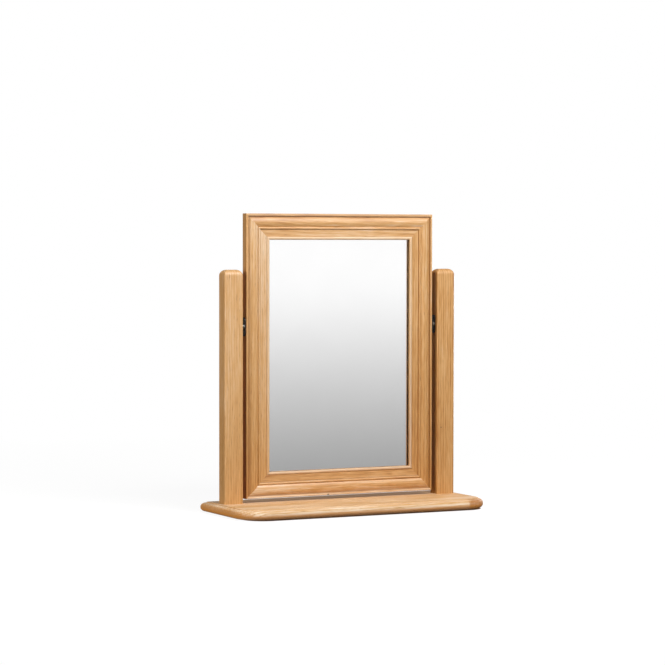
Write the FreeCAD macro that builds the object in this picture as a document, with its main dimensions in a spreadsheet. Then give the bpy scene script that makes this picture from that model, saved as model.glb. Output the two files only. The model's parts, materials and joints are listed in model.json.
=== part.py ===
"""Dressing table mirror: an oak swivel mirror between two posts on a bullnosed base board.

Millimetres. X runs to the right, Y to the back and Z up.
The origin is on the table, under the middle of the base.
"""
import FreeCAD, Part
import os
import Sketcher

Vector = FreeCAD.Vector
Rotation = FreeCAD.Rotation

# Driving dimensions, one cell each
SIZES = {
    # Base board and the pads it stands on
    "base_overhang": 17.0,
    "base_depth": 214.0,
    "base_thickness": 20.0,
    "base_corner_radius": 55.0,
    "base_arris": 1.5,
    "base_under_round": 8.6,
    "base_edge_land": 0.6,
    "base_shoulder": 0.8,
    "base_step": 1.8,
    "base_step_round": 1.0,
    "pad_diameter": 25.0,
    "pad_thickness": 2.0,
    "pad_inset": 42.0,
    # Posts
    "post_width": 40.5,
    "post_depth": 29.5,
    "post_above_pivot": 114.0,
    "post_setback": 39.0,
    "post_top_round": 11.5,
    "post_edge_round": 3.0,
    # Frame, measured over its lips
    "frame_width": 423.0,
    "frame_height": 570.0,
    "frame_lift": 8.0,
    "pivot_drop": 226.0,
    # Moulding, from the outer edge to the sight edge
    "moulding_thickness": 18.0,
    "back_chamfer": 1.2,
    "lip_width": 4.7,
    "lip_round": 1.6,
    "quirk_width": 2.2,
    "quirk_depth": 2.4,
    "torus_width": 19.8,
    "torus_rise": 3.6,
    "torus_fall": 1.8,
    "astragal_width": 5.0,
    "astragal_rise": 2.2,
    "flat_width": 14.2,
    "flat_step": 0.6,
    "flat_slope": 0.2,
    "bead_width": 6.6,
    "bead_rise": 2.0,
    "bead_step": 0.3,
    "sight_edge": 3.7,
    # Glass and back board in their stepped rebate
    "glass_thickness": 4.0,
    "glass_overlap": 7.0,
    "glass_clearance": 0.6,
    "packing_gap": 0.2,
    "board_thickness": 4.0,
    "board_overlap": 20.0,
    "board_clearance": 0.6,
    "board_screw_inset": 6.5,
    "board_screw_bite": 4.0,
    # Splines across the mitres
    "spline_length": 20.0,
    "spline_width": 24.0,
    "spline_thickness": 3.0,
    "spline_reach": 18.0,
    # Pivots, stacked between frame and post
    "plate_length": 38.0,
    "plate_width": 14.0,
    "plate_thickness": 2.0,
    "plate_land": 0.4,
    "plate_screw_inset": 6.0,
    "plate_screw_bite": 14.0,
    "friction_rim": 4.5,
    "friction_thickness": 1.5,
    "spring_rim": 4.0,
    "spring_height": 1.7,
    "spring_thickness": 0.8,
    "collar_rim": 3.0,
    "collar_thickness": 1.6,
    "pin_diameter": 6.0,
    "pin_tail": 14.0,
    "pin_chamfer": 0.8,
    "bush_wall": 1.45,
    "bush_length": 16.0,
    "running_clearance": 0.05,
    "face_clearance": 0.1,
    "plate_clearance": 0.3,
    "fit_clearance": 0.05,
    "end_clearance": 1.0,
    # Countersunk wood screws
    "screw_diameter": 3.0,
    "screw_head_diameter": 6.0,
    "screw_point": 2.5,
    # Bolt, washer, insert and dowels that hold each post
    "bolt_diameter": 6.0,
    "bolt_head_diameter": 10.0,
    "bolt_head_height": 6.0,
    "bolt_recess": 2.4,
    "bolt_end_gap": 1.6,
    "bolt_hole_clearance": 0.3,
    "bolt_key": 5.0,
    "bolt_key_depth": 3.0,
    "washer_diameter": 12.0,
    "washer_thickness": 1.6,
    "washer_clearance": 0.2,
    "counterbore_clearance": 1.0,
    "insert_diameter": 10.0,
    "insert_length": 15.0,
    "dowel_diameter": 8.0,
    "dowel_in_post": 24.0,
    "dowel_floor": 7.0,
    "dowel_web": 2.5,
}

SCREWS_PER_STILE = 4
SCREWS_PER_RAIL = 2
HEIGHT_TOLERANCE = 0.001
QUARTER_RISE = 1 - 0.5 ** 0.5
CORNERS = [(-1, -1), (1, -1), (-1, 1), (1, 1)]
SIDES = (-1, 1)

# Turns of a local Z axis to the way a round piece points
TURNS = {
    "up": Rotation(),
    "right": Rotation(Vector(0, 1, 0), 90),
    "front": Rotation(Vector(1, 0, 0), 90),
}

doc = FreeCAD.newDocument("dressing_table_mirror")
sheet = doc.addObject("Spreadsheet::Sheet", "Sizes")
for row, (alias, number) in enumerate(SIZES.items(), start=1):
    sheet.set(f"A{row}", str(number))
    sheet.setAlias(f"A{row}", alias)
doc.recompute()


class Size:
    """A length that keeps both its value and the sheet formula that it came from."""

    def __init__(self, value, text):
        self.value = value
        self.text = text

    def combined(self, other, sign, value):
        return Size(value, f"({self.text} {sign} {other.text})")

    def __add__(self, other):
        other = as_size(other)
        return self.combined(other, "+", self.value + other.value)

    def __sub__(self, other):
        other = as_size(other)
        return self.combined(other, "-", self.value - other.value)

    def __mul__(self, other):
        other = as_size(other)
        return self.combined(other, "*", self.value * other.value)

    def __truediv__(self, other):
        other = as_size(other)
        return self.combined(other, "/", self.value / other.value)

    def __neg__(self):
        return Size(-self.value, f"(-{self.text})")

    def __rmul__(self, other):
        return as_size(other) * self


def as_size(number):
    return number if isinstance(number, Size) else Size(float(number), f"({number})")


class Named:
    """Every size in the sheet, by its alias."""

    def __getattr__(self, alias):
        return Size(sheet.get(alias), f"Sizes.{alias}")


s = Named()
ZERO = as_size(0)

# Moulding: where each member ends across the section, and how high it stands above the back
quirk_end = s.lip_width + s.quirk_width
torus_end = quirk_end + s.torus_width
astragal_end = torus_end + s.astragal_width
flat_end = astragal_end + s.flat_width
moulding_width = flat_end + s.bead_width
torus_foot = s.moulding_thickness - s.torus_fall
flat_level = torus_foot - s.flat_step
flat_foot = flat_level - s.flat_slope
bead_foot = flat_foot - s.bead_step
glass_front = bead_foot - s.sight_edge
board_seat = glass_front - s.glass_thickness - s.packing_gap

# Heights and depths of the whole object
base_top = s.pad_thickness + s.base_thickness
frame_bottom = base_top + s.frame_lift
frame_top = frame_bottom + s.frame_height
frame_middle = frame_bottom + s.frame_height / 2
frame_back = s.post_setback + s.moulding_thickness / 2
pivot_height = frame_top - s.pivot_drop
post_height = pivot_height - base_top + s.post_above_pivot

# Widths, outwards from the middle
half_frame = s.frame_width / 2
pivot_stack = s.friction_thickness + s.spring_height + s.collar_thickness + s.face_clearance * 2
side_gap = s.plate_thickness * 2 + pivot_stack
post_inside = half_frame + side_gap
post_centre = post_inside + s.post_width / 2
base_length = (post_inside + s.post_width + s.base_overhang) * 2

# Edge of the base, upwards and inwards
nose_top = s.base_thickness - s.base_step
nose_round = nose_top - s.base_under_round - s.base_edge_land
field_inset = nose_round + s.base_shoulder

# Glass and back board
opening_width = s.frame_width - moulding_width * 2
opening_height = s.frame_height - moulding_width * 2
glass_lap = s.glass_overlap - s.glass_clearance
board_lap = s.board_overlap - s.board_clearance
board_front = frame_back - board_seat
board_back = board_front + s.board_thickness

# Screws, bolts and dowels
screw_head_height = s.plate_thickness - s.plate_land
pilot_radius = s.screw_diameter / 2 + s.fit_clearance
pilot_depth = s.plate_screw_bite + s.end_clearance
plate_screw_spacing = s.plate_length - s.plate_screw_inset * 2
bolt_grip = s.base_thickness - s.bolt_recess - s.bolt_head_height - s.washer_thickness
bolt_in_post = s.insert_length - s.bolt_end_gap
bolt_length = s.washer_thickness + bolt_grip + bolt_in_post
washer_under = base_top - bolt_grip - s.washer_thickness
dowel_in_base = s.base_thickness - s.dowel_floor - s.end_clearance
dowel_spacing = s.insert_diameter + s.dowel_diameter + s.dowel_web * 2

# Pivots, outwards from the frame's side
pin_radius = s.pin_diameter / 2
bush_bore = pin_radius + s.running_clearance
bush_radius = bush_bore + s.bush_wall
friction_at = s.plate_thickness + s.face_clearance
spring_at = friction_at + s.friction_thickness
collar_end = side_gap - s.plate_thickness
collar_at = collar_end - s.collar_thickness


def bind(item, **formulas):
    """Ties properties to sheet formulas."""
    for prop, size in formulas.items():
        item.setExpression(prop, as_size(size).text)


def place(item, x, y, z, turn=Rotation()):
    """Puts a piece at a point worked out from the sheet, turned the given way."""
    sizes = [as_size(number) for number in (x, y, z)]
    item.Placement = FreeCAD.Placement(Vector(*[size.value for size in sizes]), turn)
    for axis, size in zip("xyz", sizes):
        item.setExpression(f"Placement.Base.{axis}", size.text)
    return item


def cylinder(name, radius, height, x, y, z, way="up"):
    item = doc.addObject("Part::Cylinder", name)
    bind(item, Radius=radius, Height=height)
    return place(item, x, y, z, TURNS[way])


def cone(name, radius, end_radius, height, x, y, z, way="up"):
    item = doc.addObject("Part::Cone", name)
    bind(item, Radius1=radius, Radius2=end_radius, Height=height)
    return place(item, x, y, z, TURNS[way])


def box(name, length, width, height, x, y, z):
    item = doc.addObject("Part::Box", name)
    bind(item, Length=length, Width=width, Height=height)
    return place(item, x, y, z)


def group(name, items):
    item = doc.addObject("Part::Compound", name)
    item.Links = items
    return item


def cut(name, base, tools):
    item = doc.addObject("Part::Cut", name)
    item.Base = base
    item.Tool = tools[0] if len(tools) == 1 else group(f"{name}_drills", tools)
    return item


def mirrored(name, source):
    """The left-hand piece, as the mirror image of the right-hand one."""
    item = doc.addObject("Part::Mirroring", name)
    item.Source = source
    item.Base = Vector(0, 0, 0)
    item.Normal = Vector(1, 0, 0)
    return item


def copies(name, source, places):
    """Separate copies of one piece, as links in a group. Each place is x, y, z and a turn."""
    links = []
    for number, (x, y, z, turn) in enumerate(places, start=1):
        link = doc.addObject("App::Link", f"{name}_{number}")
        link.LinkedObject = source
        links.append(place(link, x, y, z, turn))
    return group(name, links)


def plane(body, role):
    return next(item for item in body.Origin.OriginFeatures if item.Role == role)


def new_sketch(body, name, role):
    sketch = body.newObject("Sketcher::SketchObject", name)
    sketch.AttachmentSupport = [(plane(body, role), "")]
    sketch.MapMode = "FlatFace"
    return sketch


def hold_point(sketch, element, end, u, v):
    """Fixes one end of a line or arc at the sketch coordinates u, v."""
    for kind, axis, size in (("DistanceX", -2, u), ("DistanceY", -1, v)):
        if size.value == 0:
            sketch.addConstraint(Sketcher.Constraint("PointOnObject", element, end, axis))
            continue
        ends = (-1, 1, element, end) if size.value > 0 else (element, end, -1, 1)
        index = sketch.addConstraint(Sketcher.Constraint(kind, *ends, abs(size.value)))
        sketch.setExpression(f"Constraints[{index}]", size.text if size.value > 0 else (-size).text)


def arc_middle(start, end, rise):
    """Middle point of an arc that bulges by rise to the left of the way from start to end."""
    chord = end - start
    left = Vector(-chord.y, chord.x, 0).normalize()
    return (start + end) / 2 + left * rise


def outline(sketch, points):
    """Closed outline. Each point is u, v and the leftward rise of an arc to the next point, 0 for a line."""
    sizes = [(as_size(u), as_size(v), as_size(rise)) for u, v, rise in points]
    first = sketch.GeometryCount
    ends = []
    for number, (u, v, rise) in enumerate(sizes):
        next_u, next_v, _ = sizes[(number + 1) % len(sizes)]
        start = Vector(u.value, v.value, 0)
        end = Vector(next_u.value, next_v.value, 0)
        if rise.value == 0:
            sketch.addGeometry(Part.LineSegment(start, end))
            ends.append((1, 2))
            continue
        element = sketch.addGeometry(Part.Arc(start, arc_middle(start, end, rise.value), end))
        first_end = sketch.getPoint(element, 1)
        forward = first_end.distanceToPoint(start) < first_end.distanceToPoint(end)
        ends.append((1, 2) if forward else (2, 1))
    for number, (u, v, rise) in enumerate(sizes):
        element = first + number
        following = (number + 1) % len(sizes)
        sketch.addConstraint(Sketcher.Constraint("Coincident", element, ends[number][1],
                                                 first + following, ends[following][0]))
        hold_point(sketch, element, ends[number][0], u, v)
        if rise.value != 0:
            span_u = sizes[following][0] - u
            span_v = sizes[following][1] - v
            depth = rise if rise.value > 0 else -rise
            radius = (span_u * span_u + span_v * span_v) / (8 * depth) + depth / 2
            index = sketch.addConstraint(Sketcher.Constraint("Radius", element, radius.value))
            sketch.setExpression(f"Constraints[{index}]", radius.text)


def round_fronted(sketch, half_u, half_v, radius):
    """Rectangle about the sketch's origin with quarter-circle front corners, run anticlockwise."""
    bulge = -(radius * QUARTER_RISE)
    outline(sketch, [
        (-half_u + radius, -half_v, 0),
        (half_u - radius, -half_v, bulge),
        (half_u, -half_v + radius, 0),
        (half_u, half_v, 0),
        (-half_u, half_v, 0),
        (-half_u, -half_v + radius, bulge),
    ])


def pad(body, sketch, length, symmetric=False):
    feature = body.newObject("PartDesign::Pad", f"{sketch.Name}_pad")
    feature.Profile = sketch
    feature.SideType = "Symmetric" if symmetric else "One side"
    bind(feature, Length=length)
    return feature


def pocket_through(body, sketch):
    feature = body.newObject("PartDesign::Pocket", f"{sketch.Name}_pocket")
    feature.Profile = sketch
    feature.Type = "ThroughAll"
    feature.SideType = "Symmetric"
    return feature


def turned(name, points):
    """Body turned about its local Z axis from points of radius and height."""
    body = doc.addObject("PartDesign::Body", name)
    sketch = new_sketch(body, f"{name}_section", "XZ_Plane")
    outline(sketch, [(radius, height, 0) for radius, height in points])
    feature = body.newObject("PartDesign::Revolution", f"{name}_turning")
    feature.Profile = sketch
    feature.ReferenceAxis = (plane(body, "Z_Axis"), [""])
    feature.Angle = 360
    return body


def edges_between(feature, low, high, behind=None):
    """Names of the edges that run from one height to the other, and of those only the ones behind a depth."""
    names = []
    for number, edge in enumerate(feature.Shape.Edges, start=1):
        ends = edge.BoundBox
        if behind is not None and ends.YMin < behind.value:
            continue
        if abs(ends.ZMin - low.value) < HEIGHT_TOLERANCE and abs(ends.ZMax - high.value) < HEIGHT_TOLERANCE:
            names.append(f"Edge{number}")
    return names


def rounding(body, name, feature, edges, radius):
    item = body.newObject("PartDesign::Fillet", name)
    item.Base = (feature, edges)
    bind(item, Radius=radius)
    doc.recompute()
    return item


def rectangle(sketch, half_u, half_v):
    outline(sketch, [(-half_u, -half_v, 0), (half_u, -half_v, 0), (half_u, half_v, 0), (-half_u, half_v, 0)])


# Base board: rounded front corners, and a bullnosed edge one step below the top; drilled for the posts
def base_board():
    body = doc.addObject("PartDesign::Body", "base_blank")
    sketch = new_sketch(body, "base_plan", "XY_Plane")
    round_fronted(sketch, base_length / 2, s.base_depth / 2, s.base_corner_radius)
    slab = pad(body, sketch, nose_top)
    doc.recompute()
    upper = rounding(body, "base_upper_edge", slab, edges_between(slab, nose_top, nose_top), nose_round)
    nose = rounding(body, "base_under_edge", upper, edges_between(upper, ZERO, ZERO), s.base_under_round)
    corners = edges_between(nose, s.base_under_round, nose_top - nose_round, behind=ZERO)
    rounding(body, "base_back_corners", nose, corners, s.base_arris)
    field = new_sketch(body, "base_field", "XY_Plane")
    round_fronted(field, base_length / 2 - field_inset, s.base_depth / 2 - field_inset,
                  s.base_corner_radius - field_inset)
    raised = pad(body, field, s.base_thickness)
    doc.recompute()
    rounding(body, "base_field_edge", raised, edges_between(raised, s.base_thickness, s.base_thickness),
             s.base_step_round)
    place(body, 0, 0, s.pad_thickness)
    counterbore_radius = s.washer_diameter / 2 + s.counterbore_clearance
    hole_radius = s.bolt_diameter / 2 + s.bolt_hole_clearance
    dowel_depth = dowel_in_base + s.end_clearance
    drills = []
    for side in SIDES:
        x = side * post_centre
        drills += [
            cylinder("counterbore", counterbore_radius, s.base_thickness - bolt_grip,
                     x, s.post_setback, s.pad_thickness),
            cylinder("bolt_hole", hole_radius, s.base_thickness, x, s.post_setback, s.pad_thickness),
        ]
        drills += dowel_holes(x, base_top - dowel_depth, dowel_depth)
    return cut("base_board", body, drills)


def dowel_holes(post_x, z, depth):
    radius = s.dowel_diameter / 2 + s.fit_clearance
    return [cylinder("dowel_hole", radius, depth, post_x + end * dowel_spacing / 2, s.post_setback, z)
            for end in SIDES]


def dowels():
    pegs = []
    for side in SIDES:
        for end in SIDES:
            pegs.append(cylinder("dowel", s.dowel_diameter / 2, dowel_in_base + s.dowel_in_post,
                                 side * post_centre + end * dowel_spacing / 2, s.post_setback,
                                 base_top - dowel_in_base))
    return group("post_dowels", pegs)


def felt_pads():
    reach_x = base_length / 2 - s.pad_inset
    reach_y = s.base_depth / 2 - s.pad_inset
    pads = [cylinder("felt_pad", s.pad_diameter / 2, s.pad_thickness, side * reach_x, end * reach_y, 0)
            for side, end in CORNERS]
    return group("felt_pads", pads)


# Posts: rectangular section, soft edges and a rounded top
def right_post():
    body = doc.addObject("PartDesign::Body", "post_blank")
    sketch = new_sketch(body, "post_plan", "XY_Plane")
    rectangle(sketch, s.post_width / 2, s.post_depth / 2)
    shaft = pad(body, sketch, post_height)
    doc.recompute()
    top_edges = edges_between(shaft, post_height, post_height)
    domed = rounding(body, "post_top_edges", shaft, top_edges, s.post_top_round)
    uprights = edges_between(domed, ZERO, post_height - s.post_top_round)
    rounding(body, "post_uprights", domed, uprights, s.post_edge_round)
    place(body, post_centre, s.post_setback, base_top)
    drills = [
        cylinder("insert_hole", s.insert_diameter / 2 + s.fit_clearance, s.insert_length + s.end_clearance,
                 post_centre, s.post_setback, base_top),
        cylinder("pin_hole", pin_radius + s.fit_clearance, s.pin_tail + s.end_clearance,
                 post_inside, s.post_setback, pivot_height, "right"),
    ]
    drills += dowel_holes(post_centre, base_top, s.dowel_in_post + s.end_clearance)
    drills += plate_pilots("post_pilot", post_inside)
    return cut("right_post", body, drills)


def plate_pilots(name, x):
    """Pilot holes of the two screws of a plate, going right from x."""
    half_spacing = plate_screw_spacing / 2
    heights = [pivot_height + end * half_spacing for end in SIDES]
    return [cylinder(name, pilot_radius, pilot_depth, x, s.post_setback, z, "right") for z in heights]


# Bolt, washer and threaded insert of each post, fitted from beneath
def bolts():
    radius = s.bolt_diameter / 2
    head = s.bolt_head_diameter / 2
    key = s.bolt_key / 2
    tip = s.bolt_head_height + bolt_length
    bolt = turned("post_bolt", [
        (ZERO, s.bolt_key_depth), (key, s.bolt_key_depth), (key, ZERO), (head, ZERO),
        (head, s.bolt_head_height), (radius, s.bolt_head_height), (radius, tip), (ZERO, tip)])
    head_under = washer_under - s.bolt_head_height
    places = [(side * post_centre, s.post_setback, head_under, Rotation()) for side in SIDES]
    return copies("post_bolts", bolt, places)


def ring(name, outer, bore, height):
    """Flat ring about the local Z axis, standing on its origin."""
    return turned(name, [(bore, ZERO), (outer, ZERO), (outer, height), (bore, height)])


def bolt_washers():
    bore = s.bolt_diameter / 2 + s.washer_clearance
    washer = ring("bolt_washer", s.washer_diameter / 2, bore, s.washer_thickness)
    places = [(side * post_centre, s.post_setback, washer_under, Rotation()) for side in SIDES]
    return copies("bolt_washers", washer, places)


def inserts():
    insert = ring("insert", s.insert_diameter / 2, s.bolt_diameter / 2 + s.fit_clearance, s.insert_length)
    places = [(side * post_centre, s.post_setback, base_top, Rotation()) for side in SIDES]
    return copies("threaded_inserts", insert, places)


# Moulding, in the section's own frame: u across from the outer edge, v up from the back
def moulding_section():
    level = s.moulding_thickness
    glass_shoulder = moulding_width - s.glass_overlap
    board_shoulder = moulding_width - s.board_overlap
    return [
        (s.back_chamfer, ZERO, 0),
        (board_shoulder, ZERO, 0),
        (board_shoulder, board_seat, 0),
        (glass_shoulder, board_seat, 0),
        (glass_shoulder, glass_front, 0),
        (moulding_width, glass_front, 0),
        (moulding_width, bead_foot, -s.bead_rise),
        (flat_end, flat_foot, 0),
        (astragal_end, flat_level, 0),
        (astragal_end, torus_foot, -s.astragal_rise),
        (torus_end, torus_foot, -s.torus_rise),
        (quirk_end, level - s.quirk_depth, 0),
        (s.lip_width, level - s.quirk_depth, 0),
        (s.lip_width, level, 0),
        (s.lip_round, level, -(s.lip_round * QUARTER_RISE)),
        (ZERO, level - s.lip_round, 0),
        (ZERO, s.back_chamfer, 0),
    ]


def moulding(name, length):
    """One side of the frame, its length along local Z, cut to 45 degrees at both ends."""
    body = doc.addObject("PartDesign::Body", name)
    section = new_sketch(body, f"{name}_section", "XY_Plane")
    outline(section, moulding_section())
    pad(body, section, length, symmetric=True)
    mitres = new_sketch(body, f"{name}_mitres", "XZ_Plane")
    half = length / 2
    run = moulding_width * 2
    for end in SIDES:
        outline(mitres, [(ZERO, end * half, 0), (run, end * (half - run), 0), (run, end * half, 0)])
    pocket_through(body, mitres)
    return body


# Ways the outer edge of the section points for each side of the frame
FACING_FRONT = Rotation(Vector(1, 0, 0), 180)


def frame_sides():
    """Blanks of the four sides by name, each with its place."""
    top = place(moulding("top_rail_blank", s.frame_width), 0, frame_back, frame_top,
                Rotation(Vector(0, 1, 0), 90) * FACING_FRONT)
    bottom = place(moulding("bottom_rail_blank", s.frame_width), 0, frame_back, frame_bottom,
                   Rotation(Vector(0, 1, 0), -90) * FACING_FRONT)
    right = place(moulding("right_stile_blank", s.frame_height), half_frame, frame_back, frame_middle,
                  Rotation(Vector(0, 1, 0), 180) * FACING_FRONT)
    return top, bottom, right


def spline_boxes(name, play):
    """A plate lying across each mitre, larger all round by the play."""
    along = s.spline_length + play * 2
    across = s.spline_width + play * 2
    thick = s.spline_thickness + play * 2
    middle_x = half_frame - s.spline_reach
    plates = []
    for side, end in CORNERS:
        edge_z = frame_top if end > 0 else frame_bottom
        plate = doc.addObject("PartDesign::Body", name)
        sketch = new_sketch(plate, f"{name}_plan", "XZ_Plane")
        rectangle(sketch, along / 2, across / 2)
        pad(plate, sketch, thick, symmetric=True)
        place(plate, side * middle_x, s.post_setback, edge_z - end * s.spline_reach,
              Rotation(Vector(0, 1, 0), -45 * side * end))
        plates.append(plate)
    return plates


# Back board screws: two along each rail and four along each stile, all through the board into the moulding
def board_screw_points():
    half_u = opening_width / 2 + board_lap - s.board_screw_inset
    half_v = opening_height / 2 + board_lap - s.board_screw_inset
    points = []
    for side in SIDES:
        for number in range(SCREWS_PER_STILE):
            share = (2 * number + 1) / SCREWS_PER_STILE - 1
            points.append((side * half_u, frame_middle + share * half_v))
        for number in range(SCREWS_PER_RAIL):
            share = (2 * number + 1) / SCREWS_PER_RAIL - 1
            points.append((share * half_u, frame_middle + side * half_v))
    return points


def wood_screw(name, length):
    """Countersunk screw whose head is flush with its origin and whose point is along local Z."""
    shank = s.screw_diameter / 2
    return turned(name, [
        (ZERO, ZERO), (s.screw_head_diameter / 2, ZERO), (shank, screw_head_height),
        (shank, length - s.screw_point), (ZERO, length)])


def screw_cut(name, depth, x, y, z, way):
    """Clearance hole and countersink for a wood screw, from the face that its head is flush with."""
    mouth = s.screw_head_diameter / 2 + s.fit_clearance
    return [cylinder(f"{name}_hole", pilot_radius, depth, x, y, z, way),
            cone(f"{name}_sink", mouth, pilot_radius, screw_head_height, x, y, z, way)]


def sheet_in_opening(name, lap, thickness, front):
    """Flat sheet that laps the frame's opening by the same amount all round."""
    return box(name, opening_width + lap * 2, thickness, opening_height + lap * 2,
               -(opening_width / 2 + lap), front, frame_bottom + moulding_width - lap)


def frame_and_glass():
    top, bottom, right = frame_sides()
    slots = spline_boxes("spline_slot", s.fit_clearance)
    board_pilot = s.board_screw_bite + s.end_clearance
    pilots = [cylinder("board_pilot", pilot_radius, board_pilot, x, board_front, z, "front")
              for x, z in board_screw_points()]
    shared = group("frame_drills", slots + pilots)
    bush_depth = s.bush_length + s.fit_clearance
    bush_hole = cylinder("bush_hole", bush_radius + s.fit_clearance, bush_depth,
                         half_frame - bush_depth, s.post_setback, pivot_height, "right")
    stile_pilots = plate_pilots("stile_pilot", half_frame - pilot_depth)
    right_stile = cut("right_stile", right, [shared, bush_hole] + stile_pilots)
    glass = sheet_in_opening("mirror_glass", glass_lap, s.glass_thickness, frame_back - glass_front)
    panel = sheet_in_opening("board_blank", board_lap, s.board_thickness, board_front)
    holes = []
    for x, z in board_screw_points():
        holes += screw_cut("board_screw", s.board_thickness, x, board_back, z, "front")
    screw = wood_screw("board_screw", s.board_thickness + s.board_screw_bite)
    screw_places = [(x, board_back, z, TURNS["front"]) for x, z in board_screw_points()]
    return [
        cut("top_rail", top, [shared]),
        cut("bottom_rail", bottom, [shared]),
        right_stile,
        mirrored("left_stile", right_stile),
        group("mitre_splines", spline_boxes("spline", ZERO)),
        glass,
        cut("back_board", panel, holes),
        copies("back_board_screws", screw, screw_places),
    ]


# Pivots, along local Z from the frame's side to the post
def at_pivot(item, distance):
    return place(item, half_frame + distance, s.post_setback, pivot_height, TURNS["right"])


def pivot_plate(name, bore, distance, sink_distance, heads_outwards):
    """Round-ended plate with a bore for the pin and two countersunk screw holes."""
    body = doc.addObject("PartDesign::Body", f"{name}_blank")
    sketch = new_sketch(body, f"{name}_outline", "XY_Plane")
    half = s.plate_length / 2
    radius = s.plate_width / 2
    straight = half - radius
    bulge = -(radius * QUARTER_RISE)
    outline(sketch, [(-straight, -radius, 0), (straight, -radius, bulge), (half, ZERO, bulge),
                     (straight, radius, 0), (-straight, radius, bulge), (-half, ZERO, bulge)])
    pad(body, sketch, s.plate_thickness)
    at_pivot(body, distance)
    x = half_frame + distance
    sink_x = half_frame + sink_distance
    mouth = s.screw_head_diameter / 2 + s.fit_clearance
    sink_ends = (pilot_radius, mouth) if heads_outwards else (mouth, pilot_radius)
    drills = [cylinder(f"{name}_bore", bore, s.plate_thickness, x, s.post_setback, pivot_height, "right")]
    for end in SIDES:
        z = pivot_height + end * plate_screw_spacing / 2
        drills += [
            cylinder(f"{name}_hole", pilot_radius, s.plate_thickness, x, s.post_setback, z, "right"),
            cone(f"{name}_sink", *sink_ends, screw_head_height, sink_x, s.post_setback, z, "right"),
        ]
    return cut(name, body, drills)


def plate_screws(name, distance, turn):
    """The two screws of the right-hand plate and their mirror images, as one group."""
    screw = wood_screw(f"{name}_screw", s.plate_thickness + s.plate_screw_bite)
    pair = copies(f"{name}_pair", screw, [
        (half_frame + distance, s.post_setback, pivot_height + end * plate_screw_spacing / 2, turn)
        for end in SIDES])
    return group(name, [pair, mirrored(f"{name}_left_pair", pair)])


def spring_washer():
    """Cone washer at its fitted height, wide end towards the frame."""
    bore = pin_radius + s.plate_clearance
    rim = pin_radius + s.spring_rim
    return turned("right_spring_washer", [
        (bore, s.spring_height - s.spring_thickness), (rim, ZERO),
        (rim, s.spring_thickness), (bore, s.spring_height)])


def pivot_pin():
    """Shouldered pin: it runs in the bush, its collar bears on the post plate and its tail is in the post."""
    tip = s.end_clearance - s.bush_length
    tail = side_gap + s.pin_tail
    nose = pin_radius - s.pin_chamfer
    collar = pin_radius + s.collar_rim
    return turned("right_pivot_pin", [
        (ZERO, tip), (nose, tip), (pin_radius, tip + s.pin_chamfer),
        (pin_radius, collar_at), (collar, collar_at), (collar, collar_end), (pin_radius, collar_end),
        (pin_radius, tail - s.pin_chamfer), (nose, tail), (ZERO, tail)])


def pivots():
    fitted_bore = pin_radius + s.fit_clearance
    friction = ring("right_friction_washer", pin_radius + s.friction_rim, fitted_bore, s.friction_thickness)
    right_hand = [
        pivot_plate("right_frame_plate", pin_radius + s.plate_clearance, ZERO,
                    s.plate_thickness - screw_head_height, True),
        pivot_plate("right_post_plate", fitted_bore, collar_end, collar_end, False),
        at_pivot(ring("right_pivot_bush", bush_radius, bush_bore, s.bush_length), -s.bush_length),
        at_pivot(friction, friction_at),
        at_pivot(spring_washer(), spring_at),
        at_pivot(pivot_pin(), 0),
    ]
    pieces = []
    for item in right_hand:
        pieces += [item, mirrored(item.Name.replace("right", "left"), item)]
    pieces.append(plate_screws("frame_plate_screws", s.plate_thickness, Rotation(Vector(0, 1, 0), -90)))
    pieces.append(plate_screws("post_plate_screws", collar_end, TURNS["right"]))
    return pieces


def build():
    post = right_post()
    pieces = [base_board(), felt_pads(), post, mirrored("left_post", post), dowels(), bolts(), bolt_washers(),
              inserts()]
    pieces += frame_and_glass()
    pieces += pivots()
    return pieces


def check(pieces):
    doc.recompute()
    failed = [item.Name for item in doc.Objects if "Invalid" in item.State or "Error" in item.State]
    failed += [piece.Name for piece in pieces if piece.Shape.isNull() or not piece.Shape.isValid()]
    failed += [piece.Name for piece in pieces if not piece.Shape.Solids]
    if failed:
        raise RuntimeError(f"these did not build: {failed}")


def export(pieces):
    os.makedirs("parts", exist_ok=True)
    for piece in pieces:
        piece.Label = piece.Name
        piece.Shape.exportStep(f"parts/{piece.Label}.step")
        solids = len(piece.Shape.Solids)
        print(f"{piece.Label}: {solids} solid(s), {piece.Shape.Volume:.1f} mm3")


if __name__ == "__main__":
    built = build()
    check(built)
    export(built)
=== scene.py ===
"""Oak dressing table mirror: finishes, small parts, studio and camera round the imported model.

Metres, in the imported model's own frame: X to the right, Y to the back, Z up.
"""
import json
import math

import bpy
import numpy as np
from mathutils import Matrix, Vector


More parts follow.
